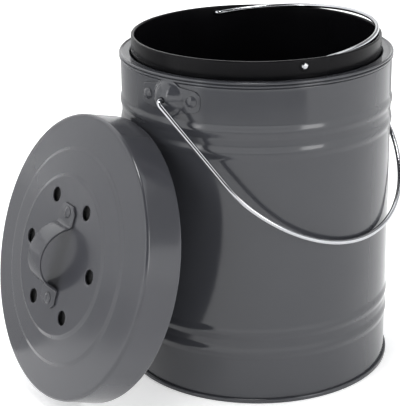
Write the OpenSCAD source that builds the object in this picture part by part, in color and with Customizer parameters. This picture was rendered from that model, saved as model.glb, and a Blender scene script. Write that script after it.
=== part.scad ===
// Countertop compost pail: a rolled steel pail with a carrying handle, a lift-out plastic
// liner with its own wire handle, and a lift-off vented lid that leans against the pail.
// Millimetres, +Z up. The origin is the centre of the pail's base, on the plane it stands on.
// The carrying handle turns about a line along Y and hangs towards +X.

/* [Pail] */
// Outer radius of the pail's wall
pail_r = 93; // [84:0.5:106]
// Height of the pail, to the top of its rolled rim
pail_h = 223.6; // [200:0.2:250]
// Thickness of the pail's and the lid's steel sheet
sheet = 0.8; // [0.6:0.05:1.1]
// How far each bead stands out of the wall
bead_proud = 0.9; // [0.4:0.1:1.8]
// Width of one bead
bead_w = 10.5; // [5:0.5:11]
// Distance between the two beads of a pair
bead_pitch = 14; // [12:0.5:18]
// Gap between the ears and the upper pair of beads
upper_beads_gap = 0.3; // [0.2:0.1:15]
// Height of the middle of the lower pair of beads
lower_beads_z = 43.4; // [30:0.1:60]
// Radius of the rolled rim
roll_r = 2; // [1.7:0.1:2.4]
// How far the rolled rim stands out beyond the pail's wall
roll_proud = 1; // [0.8:0.1:1.4]
// Width of the flat ledge, from the wall's outside to the neck
ledge_w = 6.7; // [5.5:0.1:9]
// How far the ledge lies below the top of the rolled rim
ledge_drop = 0.6; // [0.3:0.1:1]
// Depth of the neck that turns down inside the ledge
neck_h = 9; // [5:0.5:14]
// How far the bottom seam stands out of the wall
seam_proud = 1.8; // [1.2:0.1:3]
// Height of the bottom seam
seam_h = 3.2; // [2.8:0.1:5]
// How far the bottom seam reaches in behind the wall
seam_behind = 1.2; // [1:0.1:2]
// Radius of the bottom seam's rounded edges
seam_round = 0.9; // [0.5:0.1:1.2]
// Height of the base plate's upper side above the table
floor_z = 4.6; // [3.5:0.1:8]

/* [Liner] */
// Gap all round between the liner and the pail's neck
liner_gap = 0.6; // [0.3:0.1:1.2]
// How far the liner's rim stands above the pail's rim
liner_rise = 11.5; // [8:0.1:14]
// Thickness of the liner's wall
liner_wall = 2.3; // [1.6:0.1:3]
// Height of the liner's straight collar
collar_h = 20; // [15:0.5:30]
// How much narrower the liner is at its foot
liner_taper = 5; // [2:0.5:10]
// Radius round the liner's foot
liner_foot_r = 6; // [3.5:0.5:10]
// Thickness of the wire of the liner's handle
liner_wire_d = 3; // [2.4:0.1:3.4]
// Clearance round the liner handle's wire in its holes
liner_wire_gap = 0.05; // [0.02:0.01:0.1]
// How far the liner handle's pivots lie below the liner's rim
liner_pivot_drop = 4.4; // [3.6:0.1:6]
// Radius of the bend next to each pivot
liner_bend_r = 3.2; // [2.6:0.1:5]
// Distance between the liner's inside and the start of that bend
liner_bend_gap = 0.3; // [0.3:0.1:1]
// Diameter of the head on each end of the liner handle's wire
liner_head_d = 4.4; // [3.8:0.1:6]
// Thickness of that head
liner_head_t = 1; // [0.6:0.1:1.6]
// Play of that head on the outside of the liner
liner_head_play = 0.4; // [0.2:0.1:0.8]
// Direction of the liner handle's pivots, as an angle about Z
liner_bail_turn = -32; // [-90:1:90]
// Angle of the folded liner handle above level
liner_bail_rest = 5.6; // [5.6:0.1:12]

/* [Ears] */
// Height of the handle's pivots below the pail's rim
pivot_drop = 15.1; // [14.6:0.1:20]
// Radius of the ear's round middle
ear_r = 12.6; // [11:0.1:14]
// Thickness of the ear's sheet
ear_sheet = 1; // [0.8:0.1:1.4]
// Radius of the ear's dome where it leaves the plate
dome_r = 11.4; // [9:0.1:12.4]
// Height of the dome above the plate
dome_h = 5.8; // [5:0.1:8]
// Half the height of the plate's two ends
ear_end_h = 7.4; // [6:0.1:8.5]
// How far the plate reaches past each rivet
ear_end = 5.9; // [5:0.1:8]
// Radius of the plate's corners
ear_corner_r = 5; // [3:0.1:6]
// Half the height at which the edges of the plate's two arms meet, under the dome
ear_waist = 10.1; // [8:0.1:12]
// Distance between the two rivets of an ear
rivet_span = 36; // [33:0.5:42]
// Diameter of a rivet's shank
rivet_d = 4; // [3:0.1:5]
// Diameter of a rivet's round head
rivet_head_d = 8.2; // [6.5:0.1:9]
// Height of a rivet's round head
rivet_head_h = 1.8; // [1:0.1:2.5]
// Diameter of the flattened end of a rivet
rivet_tail_d = 6; // [5:0.1:7]
// Height of that flattened end
rivet_tail_h = 1; // [0.6:0.1:1.4]
// Clearance round a rivet's shank
rivet_gap = 0.05; // [0.02:0.01:0.1]

/* [Carrying handle] */
// Thickness of the carrying handle's wire
wire_d = 3.4; // [2.8:0.1:4]
// Clearance round the wire in the ear's hole
wire_gap = 0.3; // [0.1:0.05:0.5]
// Distance from the pivots to the far side of the handle, along the wire's middle
bail_reach = 138.5; // [130:0.5:150]
// Angle at which the legs lean towards each other
bail_lean = 9; // [4:0.5:10]
// Radius of the handle's two corners
bail_corner_r = 66; // [40:1:80]
// How much flatter the far side is than a single arc between the legs, as extra radius
bail_flatter = 3; // [1:0.5:30]
// Radius of the bend next to each ear
bail_bend_r = 3.4; // [3:0.1:5]
// Distance between the ear's dome and the start of the bend
bail_end_gap = 0.8; // [0.5:0.1:1.5]
// Diameter of the head on each end of the wire, inside the ear
bail_head_d = 6; // [5.4:0.1:7]
// Thickness of that head
bail_head_t = 1.4; // [1:0.1:1.8]
// Play between that head and the inside of the dome
bail_head_play = 0.6; // [0.4:0.1:0.8]
// Gap between the hanging handle and the pail's wall
bail_rest_gap = 0.6; // [0.4:0.1:3]

/* [Lid] */
// How far the lid's hem stands out beyond the pail's wall
lid_overhang = 4; // [3.4:0.1:4.4]
// Depth of the lid, from its hem to the corner of its face
lid_depth = 26; // [20:0.1:30]
// How much narrower the lid is at that corner
lid_taper = 1.2; // [0:0.1:2]
// Radius of the rolled hem
hem_r = 2; // [1.6:0.1:2.4]
// Radius of the corner between skirt and face
lid_corner_r = 2.6; // [1.8:0.1:4]
// Radius of the outer step of the face
outer_step_r = 72; // [66:0.5:78]
// Radius of the inner step of the face
inner_step_r = 54; // [52.5:0.5:60]
// Rise of the face from its corner to the outer step
outer_rise = 1.9; // [0.5:0.1:2.5]
// Rise of the face between the two steps
middle_rise = 1.6; // [0.5:0.1:2.5]
// Height of each step
step_h = 1.2; // [0.8:0.05:2.8]
// Width over which each step rises
step_w = 2.6; // [2:0.1:5]
// Diameter of a vent hole
vent_d = 10; // [5:0.1:10.2]
// Radius of the ring of vent holes
vent_ring_r = 41.8; // [39:0.1:42]
// Number of vent holes
vents = 6; // [4:2:6]

/* [Lid handle] */
// Thickness of the handle's strap
strap_t = 1.5; // [1.2:0.1:2]
// Width of the strap
strap_w = 17.5; // [12:0.5:18]
// Height of the handle above the lid's face
arch_h = 18.8; // [16:0.2:24]
// Radius of the arch's outside
arch_r = 22.4; // [20.4:0.2:24.4]
// Radius between the arch and its feet
foot_fillet = 2.6; // [2:0.1:3.4]
// Width of the handle's feet
foot_w = 18.4; // [16:0.2:20]
// Distance from the lid's middle to the end of a foot
foot_end = 35.6; // [34.6:0.1:38]
// Size of the clipped corners of a foot
foot_clip = 4; // [2:0.1:5]
// Distance between the two rivets of the handle
lid_rivet_span = 60; // [59:0.1:62]
// Diameter of the lid rivets' heads
lid_rivet_head_d = 8.4; // [6:0.1:9]
// Height of the lid rivets' heads
lid_rivet_head_h = 1.5; // [1:0.1:2]

/* [Filter] */
// Inner radius of the filter's collar
filter_r = 50; // [48.5:0.1:51]
// Height of the filter's collar
filter_collar_h = 11; // [10:0.5:15]
// Width of the flange that holds the collar to the lid
filter_flange_w = 3; // [2:0.1:3]
// Thickness of the collar's sheet
filter_sheet = 0.8; // [0.6:0.1:1]
// Thickness of the filter pad
pad_t = 8; // [5:0.5:9]
// Gap round the filter pad
pad_gap = 0.3; // [0.1:0.05:0.6]
// Distance from the face's underside to the pad
pad_depth = 2.4; // [2.2:0.1:4]

/* [Leaning lid] */
// Angle of the leaning lid's axis above level
lid_lean = 16.8; // [14:0.1:26]
// Direction in which the leaning lid's face looks, as an angle about Z
lid_azimuth = -108.1; // [-115:0.1:-100]
// Sideways offset of the leaning lid
lid_shift = -8; // [-16:0.1:0]
// Turn of the lid about its own axis
lid_turn = -1; // [-10:0.1:10]
// Gap between the leaning lid and the pail's wall
lean_gap = 0.4; // [0.3:0.1:2]

/* [Hidden] */

$fn = 96;
// Segments in each rounded corner of a profile
ROUND_STEPS = 6;
// Segments across each bead
BEAD_STEPS = 10;
// How far a cutting shape reaches past what it cuts
CUT = 4;
// Radius under the bend between the ledge and the neck
NECK_ROUND = 0.6;
// How much thicker a wire is where two stretches of it meet, and over what length
JOINT_PROUD = 0.04;
JOINT_LEN = 0.4;

enamel = "#6b6c71";
plastic = "#1d1d1f";
steel_wire = "#c9cbcd";
felt = "#2b2b2b";

// Pail
wall_in = pail_r - sheet;
seam_r = pail_r + seam_proud;
seam_in = wall_in - seam_behind;
seam_fold_z = seam_h - 2 * sheet;
wall_foot = seam_round + sheet / 2;
upper_beads_z = pail_h - pivot_drop - ear_r - upper_beads_gap - (bead_w + bead_pitch) / 2;
roll_z = pail_h - roll_r;
roll_c = pail_r + roll_proud - roll_r;
wall_top = roll_z + roll_r - sheet;
neck_r = pail_r - ledge_w;
ledge_z = pail_h - ledge_drop;
slot_in = wall_in - rivet_gap;
slot_out = pail_r + rivet_gap;

// Liner
liner_r = neck_r - liner_gap;
liner_top = pail_h + liner_rise;
liner_bottom_r = liner_r - liner_taper;
liner_pivot_z = liner_top - liner_pivot_drop;
liner_in = liner_r - liner_wall;
liner_bend_start = liner_in - liner_bend_gap;
liner_arc_r = liner_bend_start - liner_bend_r;

// Ears and carrying handle
pivot_z = pail_h - pivot_drop;
ear_out = pail_r + ear_sheet;
dome_top = ear_out + dome_h;
dome_ball = (dome_r * dome_r + dome_h * dome_h) / (2 * dome_h);
ear_rivet_angle = asin(rivet_span / 2 / ear_out);
ear_tail = sqrt(pow(wall_in, 2) - pow(rivet_tail_d / 2, 2));
bend_start = dome_top + bail_end_gap;
leg_line = (bend_start + bail_bend_r * (1 + sin(bail_lean)) / cos(bail_lean)) * cos(bail_lean);
leg_turn = 90 - bail_lean;
far_r = (leg_line - bail_reach * sin(bail_lean)) / (1 - sin(bail_lean)) + bail_flatter;
far_c = bail_reach - far_r;
corner_across = leg_line - bail_corner_r;
corner_along = far_c * cos(bail_lean)
    + sqrt(pow(far_r - bail_corner_r, 2) - pow(corner_across - far_c * sin(bail_lean), 2));
corner_x = corner_across * sin(bail_lean) + corner_along * cos(bail_lean);
corner_y = corner_across * cos(bail_lean) - corner_along * sin(bail_lean);
corner_turn = atan2(corner_y, corner_x - far_c);
far_x = far_c + far_r * cos(corner_turn);
far_y = far_r * sin(corner_turn);
leg_x = bail_bend_r * (1 + sin(bail_lean));
leg_y = bend_start + bail_bend_r * cos(bail_lean);
leg_end_x = corner_x + bail_corner_r * sin(bail_lean);
leg_end_y = corner_y + bail_corner_r * cos(bail_lean);
leg_len = norm([leg_end_x - leg_x, leg_end_y - leg_y]);
bail_hang = acos((pail_r + wire_d / 2 + bail_rest_gap) / bail_reach);

// Lid, in its own frame: its axis is Z and its hem stands on Z = 0
lid_r = pail_r + lid_overhang;
hem_c = lid_r - hem_r;
corner_c = lid_r - lid_taper - lid_corner_r;
outer_foot_z = lid_depth + outer_rise;
middle_low_z = outer_foot_z + step_h;
middle_high_z = middle_low_z + middle_rise;
face_z = middle_high_z + step_h;
face_under = face_z - sheet;
crown_turn = 90 - atan2(outer_rise, corner_c - outer_step_r - step_w / 2);
arch_c = face_z + arch_h - arch_r;
strap_in = arch_r - strap_t;
foot_start = arch_r - strap_t / 2;
foot_top = face_z + strap_t;
fillet_z = foot_top + foot_fillet;
fillet_x = sqrt(pow(arch_r + foot_fillet, 2) - pow(fillet_z - arch_c, 2));
pad_r = filter_r - pad_gap;
pad_top = face_under - pad_depth;

// Leaning lid: the hem stands on the table and leans on the wall
hem_out = pail_r + lean_gap + hem_c * sin(lid_lean) + hem_r;
hem_up = hem_c * cos(lid_lean) + hem_r;

// Points on an arc in the plane of a profile
function arc(c, r, from, to, steps = ROUND_STEPS) =
    [for (i = [0:steps]) c + r * [cos(from + (to - from) * i / steps), sin(from + (to - from) * i / steps)]];

// Points of one bead: a wave that stands out of the wall
function bead(z) = [for (i = [0:BEAD_STEPS])
    [pail_r + bead_proud * (1 - cos(360 * i / BEAD_STEPS)) / 2, z + bead_w * (i / BEAD_STEPS - 0.5)]];

function unit(v) = v / norm(v);
function left_of(v) = [-v.y, v.x];

// A line set over to its left by t, with mitred corners
function set_over(p, t) = [for (i = [0:len(p) - 1])
    let (before = left_of(unit(p[max(i, 1)] - p[max(i, 1) - 1])),
         after = left_of(unit(p[min(i, len(p) - 2) + 1] - p[min(i, len(p) - 2)])),
         middle = unit(before + after))
    p[i] + middle * t / (middle * before)];

// A sheet of even thickness that follows a line, to the left of it
module sheet_profile(line, t) {
    over = set_over(line, t);
    polygon(concat(line, [for (i = [len(over) - 1:-1:0]) over[i]]));
}

// A square with rounded corners, from its lowest corner
module rounded_box(size, r) {
    translate([r, 0]) square([size.x - 2 * r, size.y]);
    translate([0, r]) square([size.x, size.y - 2 * r]);
    for (x = [r, size.x - r]) {
        for (y = [r, size.y - r]) {
            translate([x, y]) circle(r);
        }
    }
}

// A stretch of wire bent round the middle of an arc, in the XY plane
module wire_arc(c, r, from, to, d) {
    translate([c.x, c.y, 0])
        rotate([0, 0, from])
            rotate_extrude(angle = to - from)
                translate([r, 0]) circle(d = d);
}

// A thin sleeve that covers the joint between two stretches of wire, along their common direction
module wire_joint(p, turn, d) {
    translate([p.x, p.y, 0])
        rotate([0, 90, turn])
            cylinder(d = d + JOINT_PROUD, h = JOINT_LEN, center = true);
}

module both_sides() {
    children();
    mirror([0, 1, 0]) children();
}

// The rolled wall with its two pairs of beads
module pail_wall() {
    line = concat(
        [[pail_r, wall_foot]],
        bead(lower_beads_z - bead_pitch / 2),
        bead(lower_beads_z + bead_pitch / 2),
        bead(upper_beads_z - bead_pitch / 2),
        bead(upper_beads_z + bead_pitch / 2),
        [[pail_r, wall_top]]);
    color(enamel)
        difference() {
            rotate_extrude() sheet_profile(line, sheet);
            for (side = [90, -90]) {
                ear_rivet_places(side) rivet_hole();
            }
        }
}

// The rolled rim, the ledge and the neck
module rim_ring() {
    line = concat(
        [[roll_c, ledge_z]],
        arc([neck_r + sheet + NECK_ROUND, ledge_z - sheet - NECK_ROUND], sheet + NECK_ROUND, 90, 180),
        [[neck_r, pail_h - neck_h]]);
    color(enamel)
        rotate_extrude() {
            difference() {
                union() {
                    translate([roll_c, roll_z]) circle(roll_r);
                    sheet_profile(line, sheet);
                }
                translate([slot_in, roll_z - roll_r - CUT])
                    square([slot_out - slot_in, wall_top - roll_z + roll_r + CUT]);
            }
        }
}

// The base plate and the seam that closes it round the wall's foot
module base_plate() {
    color(enamel)
        rotate_extrude() {
            difference() {
                translate([seam_in, 0]) rounded_box([seam_r - seam_in, seam_h], seam_round);
                translate([slot_in, wall_foot]) square([slot_out - slot_in, seam_h]);
            }
            polygon(concat(
                [[0, floor_z - sheet]],
                [[seam_in - sheet, floor_z - sheet]],
                [[seam_in, seam_fold_z]],
                [[seam_in + sheet, seam_fold_z]],
                [[seam_in + sheet, floor_z]],
                [[0, floor_z]]));
        }
}

// Places its children on the two rivets of the ear at one side
module ear_rivet_places(side) {
    for (swing = [-ear_rivet_angle, ear_rivet_angle]) {
        translate([0, 0, pivot_z])
            rotate([0, 0, side + swing])
                rotate([0, 90, 0])
                    children();
    }
}

module rivet_hole() {
    translate([0, 0, wall_in - CUT]) cylinder(d = rivet_d + 2 * rivet_gap, h = sheet + 2 * CUT);
}

// One ear, drawn on the +Y side
module ear_form() {
    ball_y = dome_top - dome_ball;
    difference() {
        union() {
            intersection() {
                difference() {
                    cylinder(r = ear_out, h = pail_h);
                    cylinder(r = pail_r, h = pail_h);
                }
                translate([0, ear_out + CUT, pivot_z])
                    rotate([90, 0, 0])
                        linear_extrude(dome_h + 4 * CUT) ear_outline();
            }
            intersection() {
                translate([0, ball_y, pivot_z]) sphere(dome_ball);
                translate([0, ear_out + dome_h + CUT, pivot_z])
                    rotate([90, 0, 0])
                        cylinder(r = dome_r, h = dome_h + 3 * CUT);
            }
        }
        translate([0, ball_y, pivot_z]) sphere(dome_ball - ear_sheet);
        cylinder(r = pail_r, h = pail_h);
        translate([0, ball_y, pivot_z])
            rotate([-90, 0, 0])
                cylinder(d = wire_d + 2 * wire_gap, h = 2 * dome_ball);
        ear_rivet_places(90) rivet_hole();
    }
}

// Outline of an ear's plate: a round middle and two arms that end past the rivets
module ear_outline() {
    arm = rivet_span / 2;
    circle(ear_r);
    for (side = [0, 180]) {
        rotate([0, 0, side]) {
            translate([arm - ear_end_h, -ear_end_h])
                rounded_box([ear_end_h + ear_end, 2 * ear_end_h], ear_corner_r);
            polygon([[0, ear_waist], [arm, ear_end_h], [arm, -ear_end_h], [0, -ear_waist]]);
        }
    }
}

module ear_right() {
    color(enamel) ear_form();
}

module ear_left() {
    color(enamel) rotate([0, 0, 180]) ear_form();
}

// A rivet with its axis along Z: a round head on the outside, a flat tail on the inside
module rivet(seat, tail, head_d, head_h) {
    ball = (head_d * head_d / 4 + head_h * head_h) / (2 * head_h);
    intersection() {
        translate([0, 0, seat + head_h - ball]) sphere(ball);
        translate([0, 0, seat]) cylinder(d = head_d, h = head_h + CUT);
    }
    translate([0, 0, tail - rivet_tail_h]) {
        cylinder(d = rivet_d, h = seat + rivet_tail_h + head_h / 2 - tail);
        cylinder(d = rivet_tail_d, h = rivet_tail_h);
    }
}

module ear_rivets(side) {
    color(enamel)
        ear_rivet_places(side) rivet(ear_out, ear_tail, rivet_head_d, rivet_head_h);
}

module ear_rivets_right() {
    ear_rivets(90);
}

module ear_rivets_left() {
    ear_rivets(-90);
}

// The carrying handle, drawn flat in the XY plane and then hung on its pivots
module carrying_handle() {
    inner_end = dome_top - ear_sheet - bail_head_play - bail_head_t;
    color(steel_wire)
        translate([0, 0, pivot_z])
            rotate([0, bail_hang, 0]) {
                wire_arc([far_c, 0], far_r, -corner_turn, corner_turn, wire_d);
                both_sides() {
                    wire_joint([far_x, far_y], corner_turn + 90, wire_d);
                    wire_arc([corner_x, corner_y], bail_corner_r, corner_turn, leg_turn, wire_d);
                    wire_joint([leg_end_x, leg_end_y], -bail_lean, wire_d);
                    translate([leg_x, leg_y, 0])
                        rotate([0, 90, -bail_lean])
                            cylinder(d = wire_d, h = leg_len);
                    wire_joint([leg_x, leg_y], -bail_lean, wire_d);
                    wire_arc([bail_bend_r, bend_start], bail_bend_r, leg_turn, 180, wire_d);
                    wire_joint([0, bend_start], 90, wire_d);
                    translate([0, inner_end, 0])
                        rotate([-90, 0, 0]) {
                            cylinder(d = wire_d, h = bend_start - inner_end);
                            cylinder(d = bail_head_d, h = bail_head_t);
                        }
                }
            }
}

// The plastic liner that stands in the pail
module liner() {
    outside = concat(
        [[0, floor_z]],
        arc([liner_bottom_r - liner_foot_r, floor_z + liner_foot_r], liner_foot_r, -90, 0),
        [[liner_r, liner_top - collar_h]],
        [[liner_r, liner_top]]);
    color(plastic)
        difference() {
            rotate_extrude() sheet_profile(outside, liner_wall);
            translate([0, 0, liner_pivot_z])
                rotate([90, 0, liner_bail_turn + 90])
                    cylinder(d = liner_wire_d + 2 * liner_wire_gap, h = 3 * liner_r, center = true);
        }
}

// The liner's handle, drawn flat in the XY plane with its pivots on Y, and then folded down
module liner_handle() {
    head_in = liner_r + liner_head_play;
    color(steel_wire)
        translate([0, 0, liner_pivot_z])
            rotate([0, 0, liner_bail_turn + 90])
                rotate([0, -liner_bail_rest, 0]) {
                    wire_arc([liner_bend_r, 0], liner_arc_r, -90, 90, liner_wire_d);
                    both_sides() {
                        wire_arc([liner_bend_r, liner_bend_start], liner_bend_r, 180, 270, liner_wire_d);
                        translate([0, liner_bend_start, 0])
                            rotate([-90, 0, 0])
                                cylinder(d = liner_wire_d, h = head_in + liner_head_t - liner_bend_start);
                        translate([0, head_in, 0])
                            rotate([-90, 0, 0])
                                cylinder(d = liner_head_d, h = liner_head_t);
                    }
                }
}

// Leans its children, drawn in the lid's own frame, against the pail
module leaning() {
    rotate([0, 0, lid_azimuth])
        translate([hem_out, lid_shift, hem_up])
            rotate([0, 90 - lid_lean, 0])
                rotate([0, 0, lid_turn])
                    children();
}

// The pressed lid: a rolled hem, a skirt, a stepped face and its vent holes
module lid_shell() {
    outside = concat(
        [[lid_r, hem_r]],
        arc([corner_c, lid_depth - lid_corner_r], lid_corner_r, 0, crown_turn),
        [[outer_step_r + step_w / 2, outer_foot_z]],
        [[outer_step_r - step_w / 2, middle_low_z]],
        [[inner_step_r + step_w / 2, middle_high_z]],
        [[inner_step_r - step_w / 2, face_z]],
        [[0, face_z]]);
    color(enamel)
        leaning()
            difference() {
                rotate_extrude() {
                    sheet_profile(outside, sheet);
                    translate([hem_c, hem_r]) circle(hem_r);
                }
                for (i = [0:vents - 1]) {
                    rotate([0, 0, 360 / vents * (i + 0.5)])
                        translate([vent_ring_r, 0, face_under - CUT])
                            cylinder(d = vent_d, h = sheet + 2 * CUT);
                }
                lid_rivet_places() cylinder(d = rivet_d + 2 * rivet_gap, h = sheet + 4 * CUT, center = true);
            }
}

// Places its children on the lid's face, at the handle's two rivets
module lid_rivet_places() {
    for (side = [-1, 1]) {
        translate([side * lid_rivet_span / 2, 0, face_z]) children();
    }
}

// The strap handle: an arch with a flat foot at each end
module lid_handle() {
    color(enamel)
        leaning()
            difference() {
                union() {
                    rotate([90, 0, 0])
                        linear_extrude(strap_w, center = true) arch_profile();
                    for (side = [0, 180]) {
                        rotate([0, 0, side])
                            translate([0, 0, face_z])
                                linear_extrude(strap_t) foot_outline();
                    }
                }
                lid_rivet_places() cylinder(d = rivet_d + 2 * rivet_gap, h = 4 * CUT, center = true);
            }
}

// Side view of the arch: a ring cut off at the lid's face, with a fillet at each foot
module arch_profile() {
    difference() {
        union() {
            intersection() {
                translate([0, arch_c]) circle(arch_r);
                translate([-arch_r, face_z]) square([2 * arch_r, arch_h]);
            }
            for (side = [-1, 1]) {
                difference() {
                    polygon([[side * (strap_in - strap_t), face_z], [side * fillet_x, face_z],
                        [side * fillet_x, foot_top],
                        [side * arch_r * fillet_x / (arch_r + foot_fillet),
                            arch_c + (fillet_z - arch_c) * arch_r / (arch_r + foot_fillet)]]);
                    translate([side * fillet_x, fillet_z]) circle(foot_fillet);
                }
            }
        }
        translate([0, arch_c]) circle(strap_in);
    }
}

// Plan of one foot, with its two outer corners clipped
module foot_outline() {
    polygon([[foot_start, -foot_w / 2], [foot_end - foot_clip, -foot_w / 2],
        [foot_end, -foot_w / 2 + foot_clip], [foot_end, foot_w / 2 - foot_clip],
        [foot_end - foot_clip, foot_w / 2], [foot_start, foot_w / 2]]);
}

module lid_rivets() {
    color(enamel)
        leaning()
            lid_rivet_places() rivet(strap_t, -sheet, lid_rivet_head_d, lid_rivet_head_h);
}

// The sheet collar under the face that holds the filter
module filter_collar() {
    color(steel_wire)
        leaning()
            translate([0, 0, face_under])
                rotate_extrude() {
                    translate([filter_r, -filter_collar_h]) square([filter_sheet, filter_collar_h]);
                    translate([filter_r - filter_flange_w, -filter_sheet])
                        square([filter_flange_w + filter_sheet, filter_sheet]);
                }
}

module filter_pad() {
    color(felt)
        leaning()
            translate([0, 0, pad_top - pad_t])
                cylinder(r = pad_r, h = pad_t);
}

pail_wall();
rim_ring();
base_plate();
ear_right();
ear_left();
ear_rivets_right();
ear_rivets_left();
carrying_handle();
liner();
liner_handle();
lid_shell();
lid_handle();
lid_rivets();
filter_collar();
filter_pad();
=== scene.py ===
# %% [markdown]
# # A compost pail with its lid off
# The scene dresses a packed construction model: every piece below is a finer skin for one part of it, at
# the same size and in the same place. Lengths are typed in millimetres, as a maker would, and turned to
# metres once, in the mesh.

# %% Load the frame
import math

import bmesh
import bpy
import numpy as np
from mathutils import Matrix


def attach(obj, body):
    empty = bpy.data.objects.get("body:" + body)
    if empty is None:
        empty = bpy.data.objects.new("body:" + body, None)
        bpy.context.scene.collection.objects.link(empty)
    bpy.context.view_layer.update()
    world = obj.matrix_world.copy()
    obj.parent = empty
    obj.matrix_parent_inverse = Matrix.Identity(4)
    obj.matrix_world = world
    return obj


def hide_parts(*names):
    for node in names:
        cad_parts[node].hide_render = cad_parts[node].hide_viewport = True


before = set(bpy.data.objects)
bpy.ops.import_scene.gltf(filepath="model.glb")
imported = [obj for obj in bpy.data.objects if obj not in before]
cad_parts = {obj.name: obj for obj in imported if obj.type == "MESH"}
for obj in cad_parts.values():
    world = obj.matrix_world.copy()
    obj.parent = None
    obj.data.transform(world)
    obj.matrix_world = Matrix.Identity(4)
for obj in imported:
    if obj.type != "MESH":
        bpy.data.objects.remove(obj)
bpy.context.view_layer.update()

# %% [markdown]
# ## The camera
# A long lens from a little above the rim, as for a catalogue: it keeps the pail's sides almost upright. The
# small shift puts the object where it belongs in the frame without tilting the camera further down.

# %% Camera
scene = bpy.context.scene
camera = bpy.data.objects.new("camera", bpy.data.cameras.new("camera"))
scene.collection.objects.link(camera)
camera.location = (0.55434, -0.73564, 0.45103)
camera.rotation_euler = [math.radians(v) for v in (71.3457, 0.7686, 39.1957)]
camera.data.lens = 121.951
camera.data.sensor_width = 36
camera.data.shift_y = -0.1
scene.camera = camera
scene.view_settings.view_transform = "Standard"
print("camera", round(camera.location.xy.length, 3), "m from the pail's axis")

# %% [markdown]
# ## Skins from grids
# Each surface is a grid of points, worked out as one array. A cell of the grid becomes one four-sided face,
# so a piece is a formula and not a list of corners. Where the grid closes on itself or shrinks to a pole,
# the doubled points are merged, and then the faces are turned outwards.

# %% Mesh helpers
MM = 0.001


def cells(shape, wrap):
    """Four corner numbers and four (row, column) steps of each cell: row i to i + 1 and column j to j + 1,
    counted round where wrap says so."""
    rows, cols = shape
    i, j = np.meshgrid(np.arange(rows - (not wrap[0])), np.arange(cols - (not wrap[1])), indexing="ij")
    step = np.array([(0, 0), (1, 0), (1, 1), (0, 1)])
    row, col = i[..., None] + step[:, 0], j[..., None] + step[:, 1]
    return ((row % rows) * cols + col % cols).reshape(-1, 4), np.stack([row, col], -1).reshape(-1, 2)


def measured(grid, axis, wrap):
    """Distance along one direction of the grid in metres: the mean length of each step, added up."""
    ends = np.concatenate([grid, grid.take([0], axis)], axis) if wrap else grid
    step = np.linalg.norm(np.diff(ends, axis=axis), axis=-1).mean(1 - axis)
    return np.concatenate([[0], np.cumsum(step)]) * MM


def skin(name, patches, body, nodes, material):
    """One piece from patches of (grid, wrap rows, wrap columns). Its UV map is the distance along the rows and
    columns, in metres."""
    points, faces, marks, start = [], [], [], 0
    for grid, *wrap in patches:
        quads, steps = cells(grid.shape[:2], wrap)
        points.append(grid.reshape(-1, 3) * MM)
        faces.append(quads + start)
        u, v = measured(grid, 0, wrap[0]), measured(grid, 1, wrap[1])
        marks.append(np.stack([u[steps[:, 0]], v[steps[:, 1]]], -1))
        start += grid.shape[0] * grid.shape[1]
    mesh = bpy.data.meshes.new(name)
    mesh.from_pydata(np.concatenate(points).tolist(), [], np.concatenate(faces).tolist())
    mesh.uv_layers.new(name="along").uv.foreach_set("vector", np.concatenate(marks).astype(np.float32).ravel())
    work = bmesh.new()
    work.from_mesh(mesh)
    bmesh.ops.remove_doubles(work, verts=work.verts, dist=0.000002)
    bmesh.ops.dissolve_degenerate(work, edges=work.edges, dist=0.0000005)
    bmesh.ops.recalc_face_normals(work, faces=work.faces)
    work.to_mesh(mesh)
    work.free()
    mesh.shade_smooth()
    mesh.set_sharp_from_angle(angle=math.radians(50))
    mesh.materials.append(material)
    piece = bpy.data.objects.new(name, mesh)
    scene.collection.objects.link(piece)
    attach(piece, body)
    if nodes:
        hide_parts(*nodes)
    print(name, "has", len(mesh.polygons), "faces")
    return piece


# %% Lines and turned shapes
def rounded(corners, radii, steps=7):
    """A line with rounded corners. At each corner an arc of its radius touches both sides: it starts radius
    times tan(half the turn) before the corner, and its points are the centre plus the radius turned step by
    step."""
    p, r = np.asarray(corners, float), np.asarray(radii, float)
    way = np.diff(p, axis=0)
    way /= np.linalg.norm(way, axis=1)[:, None]
    into, out = np.vstack([way[:1], way]), np.vstack([way, way[-1:]])
    turn = np.arctan2(into[:, 0] * out[:, 1] - into[:, 1] * out[:, 0], (into * out).sum(1))
    side = np.sign(turn)[:, None] * np.stack([-into[:, 1], into[:, 0]], -1)
    first = p - into * (r * np.tan(abs(turn) / 2))[:, None]
    a = abs(turn)[:, None] * np.linspace(0, 1, steps)
    ahead, aside = np.sin(a)[..., None], (1 - np.cos(a))[..., None]
    arcs = first[:, None] + r[:, None, None] * (ahead * into[:, None] + aside * side[:, None])
    line = arcs.reshape(-1, 2)
    keep = np.concatenate([[True], np.linalg.norm(np.diff(line, axis=0), axis=1) > 1e-4])
    return line[keep]


def dense(line, step):
    """The same line with extra points, so that no two neighbours are further apart than step."""
    length = np.linalg.norm(np.diff(line, axis=0), axis=1)
    count = np.maximum(1, np.ceil(length / step)).astype(int)
    which = np.repeat(np.arange(len(count)), count)
    share = (np.arange(count.sum()) - np.repeat(np.cumsum(count) - count, count)) / count[which]
    return np.vstack([line[which] + share[:, None] * (line[which + 1] - line[which]), line[-1:]])


def beside(line, t):
    """A line at distance t to the left of another: each point is moved along the line's normal there."""
    way = np.gradient(line, axis=0)
    way /= np.linalg.norm(way, axis=1)[:, None]
    return line + t * np.stack([-way[:, 1], way[:, 0]], -1)


def sheet_of(line, t):
    """The closed outline of a sheet of thickness t to the left of a line: out along it and back along its other
    side."""
    return np.vstack([line, beside(line, t)[::-1]])


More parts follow.
